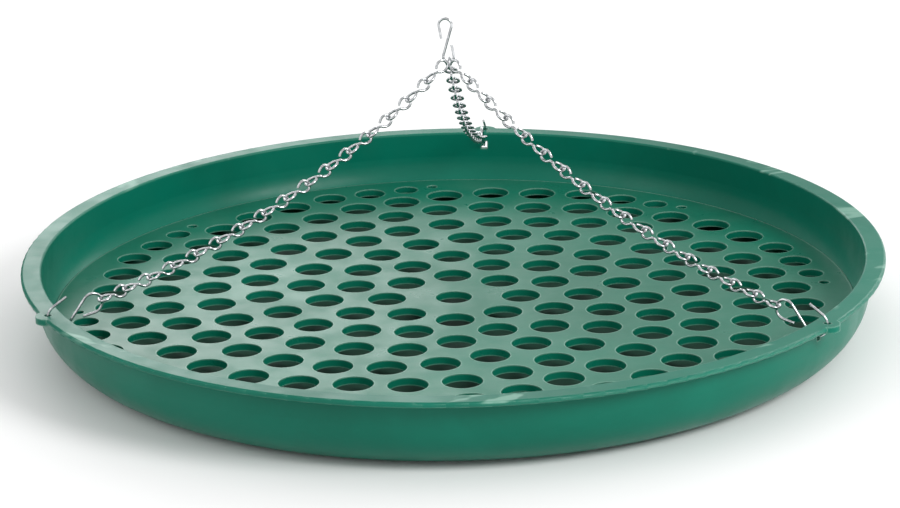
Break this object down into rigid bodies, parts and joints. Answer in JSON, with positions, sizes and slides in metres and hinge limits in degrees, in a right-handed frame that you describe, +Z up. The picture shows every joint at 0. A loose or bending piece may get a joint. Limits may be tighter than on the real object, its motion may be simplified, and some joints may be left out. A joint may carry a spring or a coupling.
{
  "type": "hanging bird feeder tray",
  "caption": "Round hanging seed tray with a loose perforated platform, hung by hooked chains from a single top hook.",
  "frame": {"origin": "centre of the tray's flat underside", "axes": "+Z up through the middle of the tray towards the hanging hook, +Y towards the rear ear, +X to the right"},
  "size_m": [0.4699, 0.4734, 0.1711],
  "materials": {
    "tray": "semi-gloss moulded",
    "platform": "semi-gloss moulded, finely grained",
    "wire": "bright zinc plated"
  },
  "bodies": {
    "tray": {"tray": "tray"},
    "seed_platform": {"seed_platform": "platform"},
    "rear_rim_hook": {"rear_rim_hook": "wire"},
    "rear_chain_link_01": {"rear_chain_link_01": "wire"},
    "rear_chain_link_02": {"rear_chain_link_02": "wire"},
    "rear_chain_link_03": {"rear_chain_link_03": "wire"},
    "rear_chain_link_04": {"rear_chain_link_04": "wire"},
    "rear_chain_link_05": {"rear_chain_link_05": "wire"},
    "rear_chain_link_06": {"rear_chain_link_06": "wire"},
    "rear_chain_link_07": {"rear_chain_link_07": "wire"},
    "rear_chain_link_08": {"rear_chain_link_08": "wire"},
    "rear_chain_link_09": {"rear_chain_link_09": "wire"},
    "rear_chain_link_10": {"rear_chain_link_10": "wire"},
    "rear_chain_link_11": {"rear_chain_link_11": "wire"},
    "rear_chain_link_12": {"rear_chain_link_12": "wire"},
    "rear_chain_link_13": {"rear_chain_link_13": "wire"},
    "rear_chain_link_14": {"rear_chain_link_14": "wire"},
    "rear_chain_link_15": {"rear_chain_link_15": "wire"},
    "rear_chain_link_16": {"rear_chain_link_16": "wire"},
    "left_rim_hook": {"left_rim_hook": "wire"},
    "left_chain_link_01": {"left_chain_link_01": "wire"},
    "left_chain_link_02": {"left_chain_link_02": "wire"},
    "left_chain_link_03": {"left_chain_link_03": "wire"},
    "left_chain_link_04": {"left_chain_link_04": "wire"},
    "left_chain_link_05": {"left_chain_link_05": "wire"},
    "left_chain_link_06": {"left_chain_link_06": "wire"},
    "left_chain_link_07": {"left_chain_link_07": "wire"},
    "left_chain_link_08": {"left_chain_link_08": "wire"},
    "left_chain_link_09": {"left_chain_link_09": "wire"},
    "left_chain_link_10": {"left_chain_link_10": "wire"},
    "left_chain_link_11": {"left_chain_link_11": "wire"},
    "left_chain_link_12": {"left_chain_link_12": "wire"},
    "left_chain_link_13": {"left_chain_link_13": "wire"},
    "left_chain_link_14": {"left_chain_link_14": "wire"},
    "left_chain_link_15": {"left_chain_link_15": "wire"},
    "left_chain_link_16": {"left_chain_link_16": "wire"},
    "right_rim_hook": {"right_rim_hook": "wire"},
    "right_chain_link_01": {"right_chain_link_01": "wire"},
    "right_chain_link_02": {"right_chain_link_02": "wire"},
    "right_chain_link_03": {"right_chain_link_03": "wire"},
    "right_chain_link_04": {"right_chain_link_04": "wire"},
    "right_chain_link_05": {"right_chain_link_05": "wire"},
    "right_chain_link_06": {"right_chain_link_06": "wire"},
    "right_chain_link_07": {"right_chain_link_07": "wire"},
    "right_chain_link_08": {"right_chain_link_08": "wire"},
    "right_chain_link_09": {"right_chain_link_09": "wire"},
    "right_chain_link_10": {"right_chain_link_10": "wire"},
    "right_chain_link_11": {"right_chain_link_11": "wire"},
    "right_chain_link_12": {"right_chain_link_12": "wire"},
    "right_chain_link_13": {"right_chain_link_13": "wire"},
    "right_chain_link_14": {"right_chain_link_14": "wire"},
    "right_chain_link_15": {"right_chain_link_15": "wire"},
    "right_chain_link_16": {"right_chain_link_16": "wire"},
    "hanging_hook": {"hanging_hook": "wire"}
  },
  "joints": [
    {"name": "platform_lift", "type": "slide", "parent": "tray", "child": "seed_platform", "axis": [0, 0, 1], "range_m": [0, 0.018]},
    {"name": "rear_hook_swing", "type": "hinge", "parent": "tray", "child": "rear_rim_hook", "pos_m": [0, 0.2255, 0.0405], "axis": [-1, 0, 0], "range_deg": [0, 15]},
    {"name": "rear_link_01_fold", "type": "hinge", "parent": "rear_rim_hook", "child": "rear_chain_link_01", "pos_m": [0, 0.20376, 0.04552], "axis": [-1, 0, 0], "range_deg": [0, 15]},
    {"name": "rear_link_02_fold", "type": "hinge", "parent": "rear_chain_link_01", "child": "rear_chain_link_02", "pos_m": [0, 0.19003, 0.04899], "axis": [-1, 0, 0], "range_deg": [0, 15]},
    {"name": "rear_link_03_fold", "type": "hinge", "parent": "rear_chain_link_02", "child": "rear_chain_link_03", "pos_m": [0, 0.17639, 0.05286], "axis": [-1, 0, 0], "range_deg": [0, 15]},
    {"name": "rear_link_04_fold", "type": "hinge", "parent": "rear_chain_link_03", "child": "rear_chain_link_04", "pos_m": [0, 0.16288, 0.05712], "axis": [-1, 0, 0], "range_deg": [0, 15]},
    {"name": "rear_link_05_fold", "type": "hinge", "parent": "rear_chain_link_04", "child": "rear_chain_link_05", "pos_m": [0, 0.1495, 0.06178], "axis": [-1, 0, 0], "range_deg": [0, 15]},
    {"name": "rear_link_06_fold", "type": "hinge", "parent": "rear_chain_link_05", "child": "rear_chain_link_06", "pos_m": [0, 0.13626, 0.06682], "axis": [-1, 0, 0], "range_deg": [0, 15]},
    {"name": "rear_link_07_fold", "type": "hinge", "parent": "rear_chain_link_06", "child": "rear_chain_link_07", "pos_m": [0, 0.12317, 0.07225], "axis": [-1, 0, 0], "range_deg": [0, 15]},
    {"name": "rear_link_08_fold", "type": "hinge", "parent": "rear_chain_link_07", "child": "rear_chain_link_08", "pos_m": [0, 0.11024, 0.07805], "axis": [-1, 0, 0], "range_deg": [0, 15]},
    {"name": "rear_link_09_fold", "type": "hinge", "parent": "rear_chain_link_08", "child": "rear_chain_link_09", "pos_m": [0, 0.09749, 0.08423], "axis": [-1, 0, 0], "range_deg": [0, 15]},
    {"name": "rear_link_10_fold", "type": "hinge", "parent": "rear_chain_link_09", "child": "rear_chain_link_10", "pos_m": [0, 0.08492, 0.09077], "axis": [-1, 0, 0], "range_deg": [0, 15]},
    {"name": "rear_link_11_fold", "type": "hinge", "parent": "rear_chain_link_10", "child": "rear_chain_link_11", "pos_m": [0, 0.07255, 0.09768], "axis": [-1, 0, 0], "range_deg": [0, 15]},
    {"name": "rear_link_12_fold", "type": "hinge", "parent": "rear_chain_link_11", "child": "rear_chain_link_12", "pos_m": [0, 0.06038, 0.10495], "axis": [-1, 0, 0], "range_deg": [0, 15]},
    {"name": "rear_link_13_fold", "type": "hinge", "parent": "rear_chain_link_12", "child": "rear_chain_link_13", "pos_m": [0, 0.04843, 0.11257], "axis": [-1, 0, 0], "range_deg": [0, 15]},
    {"name": "rear_link_14_fold", "type": "hinge", "parent": "rear_chain_link_13", "child": "rear_chain_link_14", "pos_m": [0, 0.03671, 0.12053], "axis": [-1, 0, 0], "range_deg": [0, 15]},
    {"name": "rear_link_15_fold", "type": "hinge", "parent": "rear_chain_link_14", "child": "rear_chain_link_15", "pos_m": [0, 0.02522, 0.12882], "axis": [-1, 0, 0], "range_deg": [0, 15]},
    {"name": "rear_link_16_fold", "type": "hinge", "parent": "rear_chain_link_15", "child": "rear_chain_link_16", "pos_m": [0, 0.01398, 0.13745], "axis": [-1, 0, 0], "range_deg": [0, 15]},
    {"name": "left_hook_swing", "type": "hinge", "parent": "tray", "child": "left_rim_hook", "pos_m": [-0.19529, -0.11275, 0.0405], "axis": [0.5, -0.866, 0], "range_deg": [0, 15]},
    {"name": "left_link_01_fold", "type": "hinge", "parent": "left_rim_hook", "child": "left_chain_link_01", "pos_m": [-0.17647, -0.10188, 0.04552], "axis": [0.5, -0.866, 0], "range_deg": [0, 15]},
    {"name": "left_link_02_fold", "type": "hinge", "parent": "left_chain_link_01", "child": "left_chain_link_02", "pos_m": [-0.16457, -0.09501, 0.04899], "axis": [0.5, -0.866, 0], "range_deg": [0, 15]},
    {"name": "left_link_03_fold", "type": "hinge", "parent": "left_chain_link_02", "child": "left_chain_link_03", "pos_m": [-0.15276, -0.0882, 0.05286], "axis": [0.5, -0.866, 0], "range_deg": [0, 15]},
    {"name": "left_link_04_fold", "type": "hinge", "parent": "left_chain_link_03", "child": "left_chain_link_04", "pos_m": [-0.14106, -0.08144, 0.05712], "axis": [0.5, -0.866, 0], "range_deg": [0, 15]},
    {"name": "left_link_05_fold", "type": "hinge", "parent": "left_chain_link_04", "child": "left_chain_link_05", "pos_m": [-0.12947, -0.07475, 0.06178], "axis": [0.5, -0.866, 0], "range_deg": [0, 15]},
    {"name": "left_link_06_fold", "type": "hinge", "parent": "left_chain_link_05", "child": "left_chain_link_06", "pos_m": [-0.118, -0.06813, 0.06682], "axis": [0.5, -0.866, 0], "range_deg": [0, 15]},
    {"name": "left_link_07_fold", "type": "hinge", "parent": "left_chain_link_06", "child": "left_chain_link_07", "pos_m": [-0.10666, -0.06158, 0.07225], "axis": [0.5, -0.866, 0], "range_deg": [0, 15]},
    {"name": "left_link_08_fold", "type": "hinge", "parent": "left_chain_link_07", "child": "left_chain_link_08", "pos_m": [-0.09547, -0.05512, 0.07805], "axis": [0.5, -0.866, 0], "range_deg": [0, 15]},
    {"name": "left_link_09_fold", "type": "hinge", "parent": "left_chain_link_08", "child": "left_chain_link_09", "pos_m": [-0.08443, -0.04874, 0.08423], "axis": [0.5, -0.866, 0], "range_deg": [0, 15]},
    {"name": "left_link_10_fold", "type": "hinge", "parent": "left_chain_link_09", "child": "left_chain_link_10", "pos_m": [-0.07354, -0.04246, 0.09077], "axis": [0.5, -0.866, 0], "range_deg": [0, 15]},
    {"name": "left_link_11_fold", "type": "hinge", "parent": "left_chain_link_10", "child": "left_chain_link_11", "pos_m": [-0.06283, -0.03627, 0.09768], "axis": [0.5, -0.866, 0], "range_deg": [0, 15]},
    {"name": "left_link_12_fold", "type": "hinge", "parent": "left_chain_link_11", "child": "left_chain_link_12", "pos_m": [-0.05229, -0.03019, 0.10495], "axis": [0.5, -0.866, 0], "range_deg": [0, 15]},
    {"name": "left_link_13_fold", "type": "hinge", "parent": "left_chain_link_12", "child": "left_chain_link_13", "pos_m": [-0.04194, -0.02422, 0.11257], "axis": [0.5, -0.866, 0], "range_deg": [0, 15]},
    {"name": "left_link_14_fold", "type": "hinge", "parent": "left_chain_link_13", "child": "left_chain_link_14", "pos_m": [-0.03179, -0.01835, 0.12053], "axis": [0.5, -0.866, 0], "range_deg": [0, 15]},
    {"name": "left_link_15_fold", "type": "hinge", "parent": "left_chain_link_14", "child": "left_chain_link_15", "pos_m": [-0.02184, -0.01261, 0.12882], "axis": [0.5, -0.866, 0], "range_deg": [0, 15]},
    {"name": "left_link_16_fold", "type": "hinge", "parent": "left_chain_link_15", "child": "left_chain_link_16", "pos_m": [-0.01211, -0.00699, 0.13745], "axis": [0.5, -0.866, 0], "range_deg": [0, 15]},
    {"name": "right_hook_swing", "type": "hinge", "parent": "tray", "child": "right_rim_hook", "pos_m": [0.19529, -0.11275, 0.0405], "axis": [0.5, 0.866, 0], "range_deg": [0, 15]},
    {"name": "right_link_01_fold", "type": "hinge", "parent": "right_rim_hook", "child": "right_chain_link_01", "pos_m": [0.17647, -0.10188, 0.04552], "axis": [0.5, 0.866, 0], "range_deg": [0, 15]},
    {"name": "right_link_02_fold", "type": "hinge", "parent": "right_chain_link_01", "child": "right_chain_link_02", "pos_m": [0.16457, -0.09501, 0.04899], "axis": [0.5, 0.866, 0], "range_deg": [0, 15]},
    {"name": "right_link_03_fold", "type": "hinge", "parent": "right_chain_link_02", "child": "right_chain_link_03", "pos_m": [0.15276, -0.0882, 0.05286], "axis": [0.5, 0.866, 0], "range_deg": [0, 15]},
    {"name": "right_link_04_fold", "type": "hinge", "parent": "right_chain_link_03", "child": "right_chain_link_04", "pos_m": [0.14106, -0.08144, 0.05712], "axis": [0.5, 0.866, 0], "range_deg": [0, 15]},
    {"name": "right_link_05_fold", "type": "hinge", "parent": "right_chain_link_04", "child": "right_chain_link_05", "pos_m": [0.12947, -0.07475, 0.06178], "axis": [0.5, 0.866, 0], "range_deg": [0, 15]},
    {"name": "right_link_06_fold", "type": "hinge", "parent": "right_chain_link_05", "child": "right_chain_link_06", "pos_m": [0.118, -0.06813, 0.06682], "axis": [0.5, 0.866, 0], "range_deg": [0, 15]},
    {"name": "right_link_07_fold", "type": "hinge", "parent": "right_chain_link_06", "child": "right_chain_link_07", "pos_m": [0.10666, -0.06158, 0.07225], "axis": [0.5, 0.866, 0], "range_deg": [0, 15]},
    {"name": "right_link_08_fold", "type": "hinge", "parent": "right_chain_link_07", "child": "right_chain_link_08", "pos_m": [0.09547, -0.05512, 0.07805], "axis": [0.5, 0.866, 0], "range_deg": [0, 15]},
    {"name": "right_link_09_fold", "type": "hinge", "parent": "right_chain_link_08", "child": "right_chain_link_09", "pos_m": [0.08443, -0.04874, 0.08423], "axis": [0.5, 0.866, 0], "range_deg": [0, 15]},
    {"name": "right_link_10_fold", "type": "hinge", "parent": "right_chain_link_09", "child": "right_chain_link_10", "pos_m": [0.07354, -0.04246, 0.09077], "axis": [0.5, 0.866, 0], "range_deg": [0, 15]},
    {"name": "right_link_11_fold", "type": "hinge", "parent": "right_chain_link_10", "child": "right_chain_link_11", "pos_m": [0.06283, -0.03627, 0.09768], "axis": [0.5, 0.866, 0], "range_deg": [0, 15]},
    {"name": "right_link_12_fold", "type": "hinge", "parent": "right_chain_link_11", "child": "right_chain_link_12", "pos_m": [0.05229, -0.03019, 0.10495], "axis": [0.5, 0.866, 0], "range_deg": [0, 15]},
    {"name": "right_link_13_fold", "type": "hinge", "parent": "right_chain_link_12", "child": "right_chain_link_13", "pos_m": [0.04194, -0.02422, 0.11257], "axis": [0.5, 0.866, 0], "range_deg": [0, 15]},
    {"name": "right_link_14_fold", "type": "hinge", "parent": "right_chain_link_13", "child": "right_chain_link_14", "pos_m": [0.03179, -0.01835, 0.12053], "axis": [0.5, 0.866, 0], "range_deg": [0, 15]},
    {"name": "right_link_15_fold", "type": "hinge", "parent": "right_chain_link_14", "child": "right_chain_link_15", "pos_m": [0.02184, -0.01261, 0.12882], "axis": [0.5, 0.866, 0], "range_deg": [0, 15]},
    {"name": "right_link_16_fold", "type": "hinge", "parent": "right_chain_link_15", "child": "right_chain_link_16", "pos_m": [0.01211, -0.00699, 0.13745], "axis": [0.5, 0.866, 0], "range_deg": [0, 15]},
    {"name": "hanging_hook_swing", "type": "hinge", "parent": "rear_chain_link_16", "child": "hanging_hook", "pos_m": [0, 0.003, 0.1464], "axis": [-1, 0, 0], "range_deg": [0, 15]}
  ]
}
